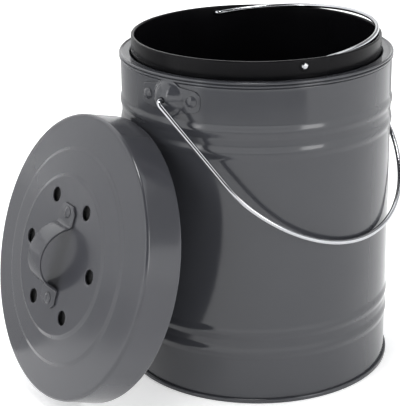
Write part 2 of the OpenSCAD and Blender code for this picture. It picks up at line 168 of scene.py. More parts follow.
def turned(line, segments=192):
    """A profile of (radius, height) turned about Z: x = radius cos a, y = radius sin a, z = height."""
    a = np.linspace(0, 2 * np.pi, segments, endpoint=False)[:, None]
    r, z = line[:, 0], line[:, 1]
    return np.stack([r * np.cos(a), r * np.sin(a), z + 0 * a], -1)


def arc(centre, radius, start, stop, steps=24):
    """Points of an arc: centre plus radius times (cos, sin) of an angle that runs from start to stop, in
    degrees."""
    a = np.radians(np.linspace(start, stop, steps))
    return np.asarray(centre, float) + radius * np.stack([np.cos(a), np.sin(a)], -1)


def spin(axis, degrees):
    """The 3 by 3 matrix that turns about one axis."""
    c, s = math.cos(math.radians(degrees)), math.sin(math.radians(degrees))
    rows = {
        "x": ((1, 0, 0), (0, c, -s), (0, s, c)),
        "y": ((c, 0, s), (0, 1, 0), (-s, 0, c)),
        "z": ((c, -s, 0), (s, c, 0), (0, 0, 1))}
    return np.array(rows[axis])


def put(grid, matrix, place=(0, 0, 0)):
    """Every point of a grid turned by a matrix and then moved."""
    return grid @ np.asarray(matrix).T + np.asarray(place, float)


print("helpers ready: a quarter arc has", len(rounded([(0, 0), (5, 0), (5, 5)], [0, 2, 0])), "points")


# %% [markdown]
# ## Finishes
# One helper adds a node with its settings and links. Colours are typed as the hex values that a screen
# shows, and one function turns them to the linear values that light is worked out with.

# %% Node helper
def linear(code):
    """A screen colour such as #6b6c71 as linear red, green, blue, alpha: each channel c is ((c + 0.055) /
    1.055) to the power 2.4, or c / 12.92 near black."""
    c = np.array([int(code[i:i + 2], 16) / 255 for i in (1, 3, 5)])
    c = np.where(c > 0.04045, ((c + 0.055) / 1.055) ** 2.4, c / 12.92)
    return (*(float(v) for v in c), 1.0)


def add(tree, kind, inputs=None, **settings):
    """Adds one node, gives it its settings, and sets or links its inputs."""
    node = tree.nodes.new(kind)
    for key, value in settings.items():
        setattr(node, key, value)
    for key, value in (inputs or {}).items():
        if isinstance(value, bpy.types.NodeSocket):
            tree.links.new(value, node.inputs[key])
        else:
            node.inputs[key].default_value = value
    return node


def two_tones(tree, share, tone, dark):
    """A mix of two screen colours by a share between 0 and 1."""
    mix = add(tree, "ShaderNodeMix", {0: share, 6: linear(tone), 7: linear(dark)}, data_type="RGBA")
    return mix.outputs[2]


def finish_named(name):
    """A new material with an empty tree, its Principled shader and its output."""
    material = bpy.data.materials.new(name)
    material.use_nodes = True
    tree = material.node_tree
    tree.nodes.clear()
    shader = add(tree, "ShaderNodeBsdfPrincipled")
    add(tree, "ShaderNodeOutputMaterial", {"Surface": shader.outputs[0]})
    return material, tree, shader


print("mid grey in linear light:", [round(v, 3) for v in linear("#808080")])

# %% [markdown]
# ## Powder-coated steel
# The pail and its lid are sheet steel under a glossy grey powder coat. The coat melts into a smooth film
# about 0.07 mm thick that keeps a faint orange peel, so reflections are clear but their edges tremble a
# little. Rolled sheet is never quite round either: a second, much wider wave bends long reflections.

# %% Powder coat
def powder_coat(name, tone, dark, roughness):
    """Grey powder coat: two tones in a cloudy mix, a roughness that varies a little, orange peel and the
    sheet's slow wave as bump."""
    material, tree, shader = finish_named(name)
    place = add(tree, "ShaderNodeTexCoord").outputs["Object"]
    cloud = add(tree, "ShaderNodeTexNoise", {"Vector": place, "Scale": 22.0, "Detail": 3.0})
    colour = two_tones(tree, cloud.outputs["Fac"], tone, dark)
    speck = add(tree, "ShaderNodeTexNoise", {"Vector": place, "Scale": 160.0, "Detail": 4.0})
    rough = add(tree, "ShaderNodeMapRange", {
        "Value": speck.outputs["Fac"], "From Min": 0.3, "From Max": 0.7,
        "To Min": roughness - 0.02, "To Max": roughness + 0.03})
    # real orange peel has cells of about 1.5 mm; they are drawn at 3 mm, the finest that shows
    peel = add(tree, "ShaderNodeTexNoise", {"Vector": place, "Scale": 330.0, "Detail": 1.0})
    wave = add(tree, "ShaderNodeTexNoise", {"Vector": place, "Scale": 24.0, "Detail": 0.0})
    slow = add(tree, "ShaderNodeBump", {"Height": wave.outputs["Fac"], "Strength": 0.06, "Distance": 0.0006})
    fine = add(tree, "ShaderNodeBump", {
        "Height": peel.outputs["Fac"], "Strength": 0.03, "Distance": 0.0001, "Normal": slow.outputs["Normal"]})
    tree.links.new(colour, shader.inputs["Base Color"])
    tree.links.new(rough.outputs[0], shader.inputs["Roughness"])
    tree.links.new(fine.outputs["Normal"], shader.inputs["Normal"])
    shader.inputs["IOR"].default_value = 1.5
    return material


pail_coat = powder_coat("powder_coat_grey_gloss", "#393a3e", "#35363a", 0.14)
# the lid has the same real coat as the pail; its copy here is painted lighter and bluer, a painted lit tone for the
# lid's face, and it is also rougher
lid_coat_painted_light = powder_coat("powder_coat_grey_gloss_lid_painted_light", "#3d3d42", "#393a3e", 0.18)
print("coats:", pail_coat.name, lid_coat_painted_light.name)

# %% [markdown]
# ## Moulded polypropylene, drawn wire, plain sheet and felt
# The liner is black polypropylene from a mould with a fine spark-eroded grain, which blurs its shine. Both
# wire handles are drawn and polished steel, with lines along the wire from the die. The filter's collar is
# plain rolled sheet, and the filter itself is needle-punched felt full of charcoal.

# %% Black polypropylene
def moulded_plastic():
    """Black polypropylene: near-black colour, satin roughness, grain as bump."""
    material, tree, shader = finish_named("moulded_black_polypropylene")
    place = add(tree, "ShaderNodeTexCoord").outputs["Object"]
    cloud = add(tree, "ShaderNodeTexNoise", {"Vector": place, "Scale": 40.0, "Detail": 2.0})
    colour = two_tones(tree, cloud.outputs["Fac"], "#08080a", "#0c0c0e")
    # the mould's grain is about 0.3 mm; it is drawn at 1.2 mm so that it shows
    grain = add(tree, "ShaderNodeTexVoronoi", {"Vector": place, "Scale": 820.0})
    bump = add(tree, "ShaderNodeBump", {
        "Height": grain.outputs["Distance"], "Strength": 0.1, "Distance": 0.00012})
    rough = add(tree, "ShaderNodeMapRange", {"Value": cloud.outputs["Fac"], "To Min": 0.2, "To Max": 0.3})
    tree.links.new(colour, shader.inputs["Base Color"])
    tree.links.new(rough.outputs[0], shader.inputs["Roughness"])
    tree.links.new(bump.outputs["Normal"], shader.inputs["Normal"])
    shader.inputs["IOR"].default_value = 1.49
    shader.inputs["Specular IOR Level"].default_value = 0.1
    return material


plastic = moulded_plastic()
print("plastic:", plastic.name)


# %% Polished wire and plain sheet
def bare_steel(name, tone, dark, low, high, along, across):
    """Bare steel: metallic, with fine lines from drawing or rolling. The lines are noise on the UV map, long
    one way and narrow the other."""
    material, tree, shader = finish_named(name)
    place = add(tree, "ShaderNodeTexCoord").outputs["UV"]
    stretched = add(tree, "ShaderNodeMapping", {"Vector": place, "Scale": (along, across, 1.0)})
    lines = add(tree, "ShaderNodeTexNoise", {"Vector": stretched.outputs[0], "Scale": 1.0, "Detail": 3.0})
    colour = two_tones(tree, lines.outputs["Fac"], tone, dark)
    rough = add(tree, "ShaderNodeMapRange", {"Value": lines.outputs["Fac"], "To Min": low, "To Max": high})
    bump = add(tree, "ShaderNodeBump", {"Height": lines.outputs["Fac"], "Strength": 0.05, "Distance": 0.00005})
    tree.links.new(colour, shader.inputs["Base Color"])
    tree.links.new(rough.outputs[0], shader.inputs["Roughness"])
    tree.links.new(bump.outputs["Normal"], shader.inputs["Normal"])
    shader.inputs["Metallic"].default_value = 1.0
    return material


wire_steel = bare_steel("polished_drawn_steel_wire", "#bcbdc0", "#a8a9ac", 0.08, 0.16, 30.0, 2500.0)
sheet_steel = bare_steel("plain_rolled_sheet_steel", "#b9babb", "#9fa0a2", 0.22, 0.36, 40.0, 1400.0)
print("metals:", wire_steel.name, sheet_steel.name)


# %% Charcoal felt
def charcoal_felt():
    """Needle-punched felt: short fibres as stretched noise, pits where the needles went, and dull black
    grains."""
    material, tree, shader = finish_named("charcoal_needle_felt")
    place = add(tree, "ShaderNodeTexCoord").outputs["Object"]
    fibre = add(tree, "ShaderNodeTexNoise", {"Vector": place, "Scale": 900.0, "Detail": 6.0, "Roughness": 0.75})
    # needle holes lie about 2 mm apart
    pit = add(tree, "ShaderNodeTexVoronoi", {"Vector": place, "Scale": 480.0})
    both = add(tree, "ShaderNodeMath", {0: fibre.outputs["Fac"], 1: pit.outputs["Distance"]}, operation="ADD")
    colour = two_tones(tree, fibre.outputs["Fac"], "#080808", "#161617")
    bump = add(tree, "ShaderNodeBump", {"Height": both.outputs[0], "Strength": 0.6, "Distance": 0.0006})
    tree.links.new(colour, shader.inputs["Base Color"])
    tree.links.new(bump.outputs["Normal"], shader.inputs["Normal"])
    shader.inputs["Roughness"].default_value = 0.95
    shader.inputs["Sheen Weight"].default_value = 0.05
    return material


felt = charcoal_felt()
print("felt:", felt.name)

# %% [markdown]
# ## The wall
# A strip of 0.8 mm steel, rolled into a tube. Two pairs of beads are rolled into it to stiffen it: each is
# a smooth wave outwards and back. The profile is the radius as a function of height, turned about the
# pail's axis.

# %% Pail wall
PAIL_R, PAIL_H, SHEET = 93.0, 223.6, 0.8
BEAD_PROUD, BEAD_W, BEAD_PITCH = 0.9, 10.5, 14.0
LOWER_BEADS, UPPER_BEADS = 43.4, 183.35
# the rim's lower fold, the gap below it, and how far the wall's end reaches up into that gap as it turns in
LOWER_FOLD_Z, LOWER_R, RIM_GAP, INTO_GAP, TURN_IN = PAIL_H - 2.95, 0.9, 0.55, 0.25, 0.9
WALL_TOP = LOWER_FOLD_Z - LOWER_R - RIM_GAP + INTO_GAP
BEADS = np.array([pair + side * BEAD_PITCH / 2 for pair in (LOWER_BEADS, UPPER_BEADS) for side in (-1, 1)])


def wall_line(z):
    """Radius against height: the plain radius plus, within half a bead's width of a bead, (1 + cos of the share
    of a turn) / 2 of its height. Just under the rim the wall turns in, in a quarter circle."""
    near = np.clip((z[:, None] - BEADS) / BEAD_W, -0.5, 0.5)
    turn_in = TURN_IN - np.sqrt(TURN_IN ** 2 - np.clip(z - WALL_TOP + TURN_IN, 0, TURN_IN) ** 2)
    return np.stack([PAIL_R + BEAD_PROUD * ((1 + np.cos(2 * np.pi * near)) / 2).sum(1) - turn_in, z], -1)


# rows lie close together over the beads and the turn at the top, and far apart where the wall is plain
WALL_FOOT, BEAD_ROW = 1.3, 0.35
bend_from = WALL_TOP - TURN_IN
heights = np.concatenate([
    np.linspace(WALL_FOOT, 30, 12), np.arange(30.6, 57, BEAD_ROW),
    np.linspace(60, 168, 12), np.arange(170.6, 197, BEAD_ROW),
    np.linspace(200, bend_from, 8), bend_from + TURN_IN * np.sin(np.linspace(0.2, np.pi / 2, 9))])
wall_sheet = sheet_of(wall_line(heights), SHEET)
skin("pail_wall_rolled", [(turned(wall_sheet), True, True)], "pail", ["pail_wall"], pail_coat)

# %% [markdown]
# ## Rim and foot
# The rim is its own ring: two folds, one above the other, that lock it to the wall's raw edge, a flat ledge
# for the liner, and a neck turned down inside. Between the folds and below them a narrow gap stays open,
# which reads as a dark line. At the foot a double seam, folded round the wall's end, holds the base plate.
# Both are closed outlines turned about the axis.

# %% Rim, ledge and neck
NECK_R, LEDGE_Z, NECK_Z, RIM_R = 86.3, PAIL_H - 0.6, PAIL_H - 9.0, 94.0
UPPER_R, GAP_R = 0.85, 92.7
upper_fold = arc((RIM_R - UPPER_R, PAIL_H - UPPER_R), UPPER_R, 130, -80, 26)
lower_fold = arc((RIM_R - LOWER_R, LOWER_FOLD_Z), LOWER_R, 80, -80, 20)
neck_out, ledge_under = NECK_R + SHEET, LEDGE_Z - SHEET
rim_line = np.vstack([
    rounded([(NECK_R, NECK_Z), (NECK_R, LEDGE_Z), (RIM_R - 2.2, LEDGE_Z), upper_fold[0]], [0, 1.4, 0.3, 0]),
    upper_fold[1:],
    [(GAP_R, upper_fold[-1, 1]), (GAP_R, lower_fold[0, 1])],
    lower_fold,
    rounded([
        (PAIL_R - 1.2, lower_fold[-1, 1]), (PAIL_R - 1.5, ledge_under),
        (neck_out, ledge_under), (neck_out, NECK_Z)], [0, 0.3, 0.6, 0])])
skin("rim_ring_rolled", [(turned(rim_line), True, True)], "pail", ["rim_ring"], pail_coat)

# %% Base plate and seam
SEAM_R, SEAM_H, SEAM_IN, SEAM_BEND, FLOOR_Z = 94.8, 3.2, 91.0, 0.9, 4.6
PLATE_R, TUCK_IN, TUCK_OUT, TUCK_Z, PLATE_BEND = 90.2, 91.1, 91.7, 2.4, 0.6
seam = rounded([
    (93.2, 0), (SEAM_R, 0), (SEAM_R, SEAM_H), (SEAM_IN, SEAM_H), (SEAM_IN, 0), (93.0, 0)],
    [0, SEAM_BEND, SEAM_BEND, SEAM_BEND, SEAM_BEND, 0])
# the plate's edge is tucked down into the seam
plate = rounded([
    (0, FLOOR_Z - SHEET), (PLATE_R, FLOOR_Z - SHEET), (TUCK_IN, TUCK_Z), (TUCK_OUT, TUCK_Z),
    (91.4, FLOOR_Z), (0, FLOOR_Z)], [0, PLATE_BEND, 0.1, 0.1, PLATE_BEND, 0])
foot = [(turned(seam), True, True), (turned(dense(plate, 12), 96), True, False)]
skin("base_plate_seamed", foot, "pail", ["base_plate"], pail_coat)

# %% [markdown]
# ## The ears
# Each ear is one pressed plate, riveted to the wall through an arm at each end, with a dome in the middle
# that the handle's wire turns in. The skin is drawn in rays from the hole at the top of the dome to the
# plate's outline, then back along the inside. Its height is a soft maximum of plate and dome, which leaves
# the small fillet of a pressing.

# %% Ears
PIVOT_Z, EAR_OUT, DOME_R, DOME_H = PAIL_H - 15.1, 94.0, 11.4, 5.8
BALL = (DOME_R ** 2 + DOME_H ** 2) / (2 * DOME_H)
BALL_Y = EAR_OUT + DOME_H - BALL
HOLE_R, EAR_R, ARM_X, WAIST, END_H, END_X, END_R = 2.0, 12.6, 18.0, 10.1, 7.4, 23.9, 5.0
# the ear's sheet, the film's soft edge round its outline, and the fillets that join the dome outside and inside
EAR_SHEET, DOME_SHEET, SOFT_EDGE, FILLET_OUT, FILLET_IN = 1.06, 1.0, 0.35, 1.1, 0.3


def ear_reach(a):
    """Distance from the pivot to the plate's outline in direction a: the furthest of the round middle, the
    straight edge of an arm and its end with rounded corners, smoothed over a few degrees."""
    c, s = abs(np.cos(a)) + 1e-9, abs(np.sin(a)) + 1e-9
    edge = np.minimum(WAIST / (s + (WAIST - END_H) / ARM_X * c), ARM_X / c)
    end = np.minimum(END_H / s, END_X / c)
    round_x, round_z = END_X - END_R, END_H - END_R
    middle = round_x * c + round_z * s
    corner = middle + np.sqrt(np.maximum(middle ** 2 - round_x ** 2 - round_z ** 2 + END_R ** 2, 0))
    end = np.where((end * c > round_x) & (end * s > round_z), corner, end)
    far = np.maximum(EAR_R, np.maximum(edge, end))
    weights = (0.04, 0.1, 0.21, 0.3, 0.21, 0.1, 0.04)
    return sum(np.roll(far, k) * w for k, w in zip(range(-3, 4), weights))


def soft_max(a, b, k):
    """The larger of two heights, rounded off where they are within k: max plus (k - difference) squared over 4
    k."""
    return np.maximum(a, b) + np.maximum(k - abs(a - b), 0) ** 2 / (4 * k)


def ear_grid():
    """Rays of an ear on the +Y side: outside from the hole to the outline, over its rounded edge, and back
    along the inside."""
    a = np.linspace(0, 2 * np.pi, 240, endpoint=False)
    far = ear_reach(a)[:, None]
    # share of the way from hole to outline, and depth below the outer face
    out = np.concatenate([[0.0, 0.012], np.linspace(0.03, 1, 44)])
    far_out = far - SOFT_EDGE
    rho = HOLE_R + (far_out - HOLE_R) * out
    deep = np.where(out == 0, 0.18, np.where(out < 0.02, 0.03, 0.0)) + 0 * rho
    rho = np.hstack([rho, far - 0.1, far, far])
    deep = np.hstack([deep, 0.1 + 0 * far, SOFT_EDGE + 0 * far, EAR_SHEET + 0 * far])
    x, z = rho * np.cos(a)[:, None], rho * np.sin(a)[:, None]
    flat = np.sqrt(EAR_OUT ** 2 - x ** 2)
    dome = BALL_Y + np.sqrt(np.maximum(BALL ** 2 - x ** 2 - z ** 2, 0))
    outside = np.stack([x, soft_max(flat, dome, FILLET_OUT) - deep, z], -1)
    back = np.linspace(1, 0, 24)
    rho = HOLE_R + (far - HOLE_R) * back
    x, z = rho * np.cos(a)[:, None], rho * np.sin(a)[:, None]
    flat = np.sqrt((EAR_OUT - EAR_SHEET) ** 2 - x ** 2)
    dome = BALL_Y + np.sqrt(np.maximum((BALL - DOME_SHEET) ** 2 - x ** 2 - z ** 2, 0))
    inside = np.stack([x, soft_max(flat, dome, FILLET_IN), z], -1)
    return np.concatenate([outside, inside[:, 1:]], 1) + (0, 0, PIVOT_Z)


ear = ear_grid()
for side, turn in (("right", 0), ("left", 180)):
    plates = [(put(ear, spin("z", turn)), True, True)]
    skin(f"ear_{side}_pressed", plates, "pail", [f"ear_{side}"], pail_coat)


# %% [markdown]
# ## Rivets
# A round-head rivet under the same coat: the film softens the edge where the head meets the sheet, so the
# head's profile has a small rounded foot. Inside, its end is hammered flat.

# %% Rivets
def rivet_grid(head_d, head_h, tail, tail_d=6.0, shank_d=4.0, tail_h=1.0):
    """A rivet along Z with its head on z = 0: spherical cap, rounded foot, shank through the sheets, flat
    tail."""
    r = head_d / 2
    cap = (r * r + head_h * head_h) / (2 * head_h)
    a = np.linspace(0, math.degrees(math.asin((r - 0.25) / cap)), 12)
    head = np.stack([cap * np.sin(np.radians(a)), head_h - cap + cap * np.cos(np.radians(a))], -1)
    shank_r, tail_r, end = shank_d / 2, tail_d / 2, tail - tail_h
    below = rounded([
        (r - 0.05, 0.3), (r, 0.0), (shank_r, 0.0), (shank_r, tail),
        (tail_r, tail), (tail_r, end), (0, end)], [0, 0.12, 0, 0, 0.1, 0.2, 0], 4)
    return turned(np.vstack([head, below]), 48)


RIVET_X, RIVET_D, RIVET_H, EAR_AND_WALL = 18, 8.2, 1.8, 1.85
rivet_angle = math.degrees(math.asin(RIVET_X / EAR_OUT))
ear_rivet = put(rivet_grid(RIVET_D, RIVET_H, -EAR_AND_WALL), spin("y", 90), (EAR_OUT, 0, PIVOT_Z))
for side, turn in (("right", 90), ("left", -90)):
    pair = [(put(ear_rivet, spin("z", turn + s * rivet_angle)), True, False) for s in (-1, 1)]
    skin(f"ear_rivets_{side}_set", pair, "pail", [f"ear_rivets_{side}"], pail_coat)


# %% [markdown]
# ## The carrying handle
# One length of 3.4 mm wire: its ends turn in through the domes, each with an upset head inside. The path is
# a chain of arcs and straight legs that meet tangentially. A ring of points is carried along it, square to
# its direction.

# %% Carrying handle
def tube(path, diameter, sides):
    """A round wire along a path in its own XY plane. At each point, a circle lies square to the direction:
    across is the path's left normal, up is Z. The ends close to a point."""
    way = np.gradient(path, axis=0)
    way /= np.linalg.norm(way, axis=1)[:, None]
    a = np.linspace(0, 2 * np.pi, sides, endpoint=False)
    r = np.full(len(path), diameter / 2)
    path = np.vstack([path[:1], path[:1], path, path[-1:], path[-1:]])
    way = np.vstack([way[:1], way[:1], way, way[-1:], way[-1:]])
    r = np.concatenate([[0, r[0] * 0.9], r, [r[-1] * 0.9, 0]])
    across = np.stack([-way[:, 1], way[:, 0]], -1)
    flat = path[:, None] + (r[:, None] * np.cos(a))[..., None] * across[:, None]
    return np.concatenate([flat, (r[:, None] * np.sin(a))[..., None]], -1)


def button(length, diameter, sides=32, edge=0.3):
    """An upset wire head along Y, from 0 to length, with rounded edges."""
    r = diameter / 2
    line = rounded([(0, 0), (r, 0), (r, length), (0, length)], [0, edge, edge, 0], 5)
    return put(turned(line, sides), spin("x", -90))


WIRE_D, REACH, LEAN, CORNER_R, BEND_R, FLATTER, HANG_GAP = 3.4, 138.5, 9.0, 66.0, 3.4, 3.0, 0.6
HEAD_D, HEAD_L, HEAD_GAP, BEND_GAP, THIN = 6.0, 1.4, 0.6, 0.8, 0.01
sin_l, cos_l = math.sin(math.radians(LEAN)), math.cos(math.radians(LEAN))
bend_y = EAR_OUT + DOME_H + BEND_GAP
leg = (bend_y + BEND_R * (1 + sin_l) / cos_l) * cos_l
far_r = (leg - REACH * sin_l) / (1 - sin_l) + FLATTER
far_c = REACH - far_r
across = leg - CORNER_R
on = far_c * cos_l + math.sqrt((far_r - CORNER_R) ** 2 - (across - far_c * sin_l) ** 2)
corner = (across * sin_l + on * cos_l, across * cos_l - on * sin_l)
corner_turn = math.degrees(math.atan2(corner[1], corner[0] - far_c))
inner_end = EAR_OUT + DOME_H - DOME_SHEET - HEAD_GAP - HEAD_L
leg_start = (BEND_R * (1 + sin_l), bend_y + BEND_R * cos_l)
leg_ends = np.array([leg_start, arc(corner, CORNER_R, 90 - LEAN, 80, 2)[0]])
half = np.vstack([
    [(0, inner_end)],
    arc((BEND_R, bend_y), BEND_R, 180, 90 - LEAN, 14),
    dense(leg_ends, 6)[1:-1],
    arc(corner, CORNER_R, 90 - LEAN, corner_turn, 20),
    arc((far_c, 0), far_r, corner_turn, 0, 60)[1:]])
bail_path = np.vstack([half, half[-2::-1] * (1, -1)])
hang = math.degrees(math.acos((PAIL_R + WIRE_D / 2 + HANG_GAP) / REACH))
hung = spin("y", hang)
heads = [put(button(HEAD_L, HEAD_D), np.diag([1, s, 1]), (0, s * inner_end, 0)) for s in (1, -1)]
parts = [(tube(bail_path, WIRE_D - THIN, 24), False, True)] + [(g, True, False) for g in heads]
handle_parts = [(put(g, hung, (0, 0, PIVOT_Z)), *w) for g, *w in parts]
skin("carrying_handle_wire", handle_parts, "handle", ["carrying_handle"], wire_steel)
print("the handle hangs", round(hang, 1), "degrees below level")

# %% [markdown]
# ## The liner
# An injection-moulded bucket: an even wall, a rounded foot, a slight taper so that it leaves the mould, and
# a straight collar that stands above the ledge. Its lip is rounded, and a small raised ring is moulded
# round each pivot hole.

# %% Liner
LINER_R, LINER_TOP, LINER_WALL, TAPER, FOOT_R = 85.7, PAIL_H + 11.5, 2.3, 5.0, 6.0
COLLAR_Z = LINER_TOP - 20.0
bottom_r = LINER_R - TAPER
liner_in, bottom_up = LINER_R - LINER_WALL, FLOOR_Z + LINER_WALL
liner_line = rounded([
    (0, FLOOR_Z), (bottom_r, FLOOR_Z), (LINER_R, COLLAR_Z), (LINER_R, LINER_TOP),
    (liner_in, LINER_TOP), (liner_in, COLLAR_Z), (bottom_r - LINER_WALL, bottom_up), (0, bottom_up)],
    [0, FOOT_R, 8, 0.9, 0.9, 8, FOOT_R - LINER_WALL, 0])
liner_patches = [(turned(dense(liner_line, 12)), True, False)]
LINER_TURN, LINER_PIVOT_Z, FOLD = -32.0, LINER_TOP - 4.4, 5.6
boss = rounded([(2.6, -0.6), (2.6, 0.35), (3.5, 0.35), (3.7, -0.6)], [0, 0.3, 0.3, 0], 5)
for s in (0, 180):
    ring = put(turned(boss, 40), spin("y", 90), (LINER_R, 0, 0))
    liner_patches.append((put(ring, spin("z", LINER_TURN + s), (0, 0, LINER_PIVOT_Z)), True, True))
skin("liner_moulded", liner_patches, "liner_bucket", ["liner"], plastic)

# %% Liner handle
LINER_WIRE, LINER_BEND = 3.0, 3.2
start = LINER_R - LINER_WALL - 0.3
head_in = LINER_R + 0.4
half = np.vstack([
    [(0, head_in + 0.2)],
    arc((LINER_BEND, start), LINER_BEND, 180, 270, 12),
    arc((LINER_BEND, 0), start - LINER_BEND, 90, 0, 70)[1:]])
loop = np.vstack([half, half[-2::-1] * (1, -1)])
stud_line = rounded([
    (0, 0), (2.2, 0), (2.2, 0.35), (1.5, 0.85), (0.6, 1.0), (0, 1.0)], [0, 0.1, 0.2, 0.5, 0.4, 0], 5)
stud = put(turned(stud_line, 36), spin("x", -90))
studs = [put(stud, np.diag([1, s, 1]), (0, s * head_in, 0)) for s in (1, -1)]
parts = [(tube(loop, LINER_WIRE, 22), False, True)] + [(g, True, False) for g in studs]
folded = spin("z", LINER_TURN + 90) @ spin("y", -FOLD)
folded_parts = [(put(g, folded, (0, 0, LINER_PIVOT_Z)), *w) for g, *w in parts]
skin("liner_handle_wire", folded_parts, "liner_bail", ["liner_handle"], wire_steel)

# %% [markdown]
# ## The lid
# A pressed cap: a hem rolled inwards, a nearly upright skirt, and a face that rises in two soft steps to a
# flat middle with six punched vents. It is drawn on its own axis and then leaned on the pail. Everything
# outside the vents is turned. Round the vents, each sixth of the face is a patch that blends from the
# hole's circle to the patch's outline.

# %% Lid pressing
LID_R, LID_DEPTH, HEM_R, LID_TAPER, LID_CORNER = 97.0, 26.0, 2.0, 1.2, 2.6
OUT_STEP, IN_STEP, STEP_W, STEP_H, RISE_OUT, RISE_MID = 72.0, 54.0, 2.6, 1.2, 1.9, 1.6
FACE_Z = LID_DEPTH + RISE_OUT + RISE_MID + 2 * STEP_H
VENT_RING, VENT_R, PATCH_IN, PATCH_OUT, SEGMENTS = 41.8, 5.0, 33.0, 50.0, 192
LID_LEAN, LID_AZIMUTH, LID_SHIFT, LID_TURN, LEAN_GAP = 16.8, -108.1, -8.0, -1.0, 0.4
hem_c = LID_R - HEM_R
lean_sin, lean_cos = math.sin(math.radians(LID_LEAN)), math.cos(math.radians(LID_LEAN))
lid_turn = spin("z", LID_AZIMUTH) @ spin("y", 90 - LID_LEAN) @ spin("z", LID_TURN)
hem_out, hem_up = PAIL_R + LEAN_GAP + hem_c * lean_sin + HEM_R, hem_c * lean_cos + HEM_R
lid_place = spin("z", LID_AZIMUTH) @ np.array([hem_out, LID_SHIFT, hem_up])
# the skin stays this much inside the construction model's facets
SLIM = 0.25
corner_r = LID_R - LID_TAPER
low = LID_DEPTH + RISE_OUT
mid = low + STEP_H + RISE_MID
face_line = rounded([
    (LID_R - SLIM, HEM_R), (corner_r - SLIM, LID_DEPTH - SLIM / 2),
    (OUT_STEP + STEP_W / 2, low), (OUT_STEP - STEP_W / 2, low + STEP_H),
    (IN_STEP + STEP_W / 2, mid), (IN_STEP - STEP_W / 2, FACE_Z), (PATCH_OUT, FACE_Z)],
    [0, LID_CORNER, 3.0, 3.0, 3.0, 2.5, 0], 9)
back_line = beside(face_line, SHEET)[::-1]
hem_end = math.degrees(math.acos((HEM_R - SHEET) / HEM_R))
above_hem = back_line[back_line[:, 1] > HEM_R + 1.6]
back_line = np.vstack([above_hem, arc((hem_c - SLIM, HEM_R), HEM_R, hem_end, 360, 36)])
lid_line = dense(np.vstack([face_line, (PATCH_OUT, FACE_Z - SHEET), back_line[1:]]), 3.0)


def leaned(patches):
    """Patches of the lid, drawn on its own axis, turned and moved to where it leans on the pail."""
    return [(put(grid, lid_turn, lid_place), *wrap) for grid, *wrap in patches]


def vent_patch(middle):
    """One sixth of the vented band. The outline is a piece of the ring between two radii and two angles. Each
    point of it is joined to the point of the hole's circle in the same direction, and the rows between are
    shares of that way; the last rows roll over the punched edge and come back below."""
    half_turn = math.pi / 6
    n = SEGMENTS // 6
    t = np.linspace(-half_turn, half_turn, n + 1)[:-1]
    r = np.linspace(PATCH_OUT, PATCH_IN, 17)[:-1]
    rim_r = np.concatenate([np.full(n, PATCH_OUT), r, np.full(n, PATCH_IN), PATCH_IN + PATCH_OUT - r])
    rim_t = np.concatenate([t, np.full(16, half_turn), -t, np.full(16, -half_turn)])
    rim = np.stack([rim_r * np.cos(rim_t + middle), rim_r * np.sin(rim_t + middle)], -1)
    hole = VENT_RING * np.array([math.cos(middle), math.sin(middle)])
    way = rim - hole
    reach = np.linalg.norm(way, axis=1)[:, None]
    way = (way / reach)[:, None]
    out = np.concatenate([np.linspace(1, 0, 8), np.full(4, 0.0), np.linspace(0, 1, 5)[1:]])
    edge = np.concatenate([np.full(7, 0.2), [0.2, 0.05, 0.0, 0.0, 0.0], np.full(4, 0.0)])
    deep = np.concatenate([np.full(8, 0.0), [0.04, 0.2, 0.8, 0.8], np.full(4, 0.8)])
    rho = VENT_R + edge + (reach - VENT_R - edge) * out
    flat = hole + way * rho[..., None]
    return np.concatenate([flat, np.broadcast_to(FACE_Z - deep, rho.shape)[..., None]], -1)


disc = np.array([(r, FACE_Z) for r in (PATCH_IN, 22, 11, 0)])
turned_lines = (lid_line, disc, disc[::-1] - (0, SHEET))
lid_patches = [(turned(line, SEGMENTS), True, False) for line in turned_lines]
lid_patches += [(vent_patch(math.radians(60 * i + 30)), True, False) for i in range(6)]
skin("lid_shell_pressed", leaned(lid_patches), "lid", ["lid_shell"], lid_coat_painted_light)

# %% [markdown]
# ## The lid's handle
# A strap of 1.5 mm steel bent to a half ring, with a flat foot at each end, clipped at its corners and held
# by one rivet. The strap's rectangular section, with softened edges, is carried along the bent line. It
# widens into the feet.

# %% Strap handle
STRAP_T, STRAP_W, FOOT_W, ARCH_H, ARCH_R, FILLET, FOOT_END, CLIP = 1.5, 17.5, 18.4, 18.74, 22.4, 2.6, 35.6, 4.0
EDGE_R, WIDER_FROM = 0.45, 20.0
arch_c = FACE_Z + ARCH_H - ARCH_R
mid_z, mid_arch, mid_fillet = FACE_Z + STRAP_T / 2, ARCH_R - STRAP_T / 2, FILLET + STRAP_T / 2
fillet_z = mid_z + mid_fillet
fillet_x = math.sqrt((mid_arch + mid_fillet) ** 2 - (fillet_z - arch_c) ** 2)
join = math.degrees(math.atan2(fillet_z - arch_c, fillet_x))
bent = np.vstack([
    dense(np.array([(FOOT_END, mid_z), (fillet_x, mid_z)]), 0.8),
    arc((fillet_x, fillet_z), mid_fillet, -90, -180 + join, 12)[1:],
    arc((0, arch_c), mid_arch, join, 90, 34)[1:]])
bent = np.vstack([bent, bent[-2::-1] * (-1, 1)])


